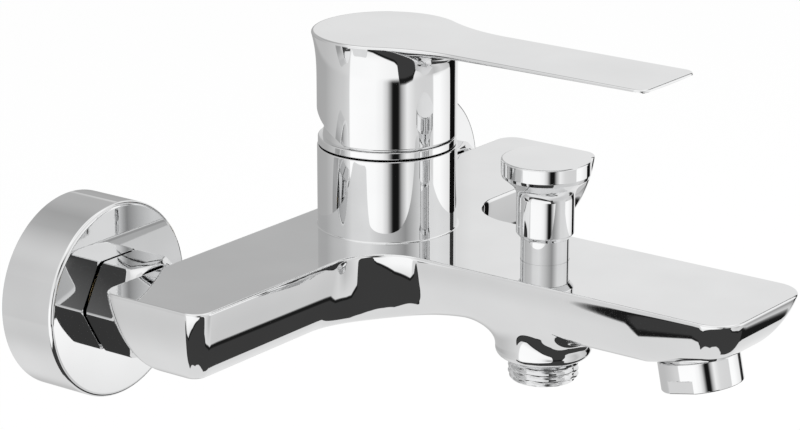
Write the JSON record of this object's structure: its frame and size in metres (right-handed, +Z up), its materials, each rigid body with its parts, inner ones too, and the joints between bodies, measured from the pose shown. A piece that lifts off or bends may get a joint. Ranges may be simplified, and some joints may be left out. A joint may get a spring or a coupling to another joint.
{
  "type": "wall mounted bath faucet",
  "caption": "Chrome wall bath faucet: T-shaped body on offset wall unions with round rosettes, a lever handle, a pull-up diverter, a threaded hose outlet and an aerated spout.",
  "frame": {"origin": "on the wall, midway between the two inlets and at their height", "axes": "+X along the wall, towards the right inlet as one faces the wall; +Y into the wall; +Z up; the spout points along -Y"},
  "size_m": [0.2084, 0.2085, 0.1017],
  "materials": {
    "chrome": "mirror polished plating on brass",
    "brass": "turned, unplated",
    "steel": "turned stainless",
    "rubber": "matt black",
    "ceramic": "lapped white ceramic",
    "white_plastic": "moulded",
    "grey_plastic": "moulded",
    "index_red": "moulded"
  },
  "bodies": {
    "fixed": {"body": "chrome", "left_rosette": "chrome", "right_rosette": "chrome", "left_union_nut": "chrome", "right_union_nut": "chrome", "left_eccentric_union": "brass", "right_eccentric_union": "brass", "left_inlet_nipple": "brass", "right_inlet_nipple": "brass", "left_inlet_washer": "rubber", "right_inlet_washer": "rubber", "cartridge_base": "white_plastic", "cartridge_seals": "rubber", "fixed_disc": "ceramic", "cartridge_housing": "white_plastic", "clamp_nut": "brass", "dome_cover": "chrome", "dome_seal": "rubber", "diverter_bush": "chrome", "bush_seals": "rubber", "diverter_spring": "steel", "hose_nipple": "chrome", "hose_check_valve": "white_plastic", "aerator_housing": "chrome", "aerator_insert": "white_plastic", "aerator_screen": "steel", "aerator_washer": "rubber"},
    "hub": {"rotary_hub": "grey_plastic", "hub_pin": "steel"},
    "lever": {"lever_stem": "steel", "handle": "chrome", "handle_screw": "steel", "index_plug": "index_red"},
    "disc": {"moving_disc": "ceramic", "disc_carrier": "grey_plastic"},
    "diverter": {"diverter_knob": "chrome", "diverter_spindle": "steel", "diverter_valve": "brass", "valve_seals": "rubber", "valve_nut": "steel"}
  },
  "joints": [
    {"name": "handle_turn", "type": "hinge", "parent": "fixed", "child": "hub", "pos_m": [0, -0.0605, 0.0385], "axis": [0, 0, 1], "range_deg": [-45, 45]},
    {"name": "handle_lift", "type": "hinge", "parent": "hub", "child": "lever", "pos_m": [0, -0.0605, 0.0385], "axis": [-1, 0, 0], "range_deg": [0, 25]},
    {"name": "disc_slide", "type": "slide", "parent": "hub", "child": "disc", "axis": [0, -1, 0], "range_m": [0, 0.0055]},
    {"name": "diverter_pull", "type": "slide", "parent": "fixed", "child": "diverter", "axis": [0, 0, 1], "range_m": [0, 0.0088], "stiffness_N_per_m": 150, "springref_m": -0.01, "deforming": ["diverter_spring"]}
  ],
  "couplings": [
    {"joint": "disc_slide", "follows": "handle_lift", "m_per_rad": 0.012}
  ]
}
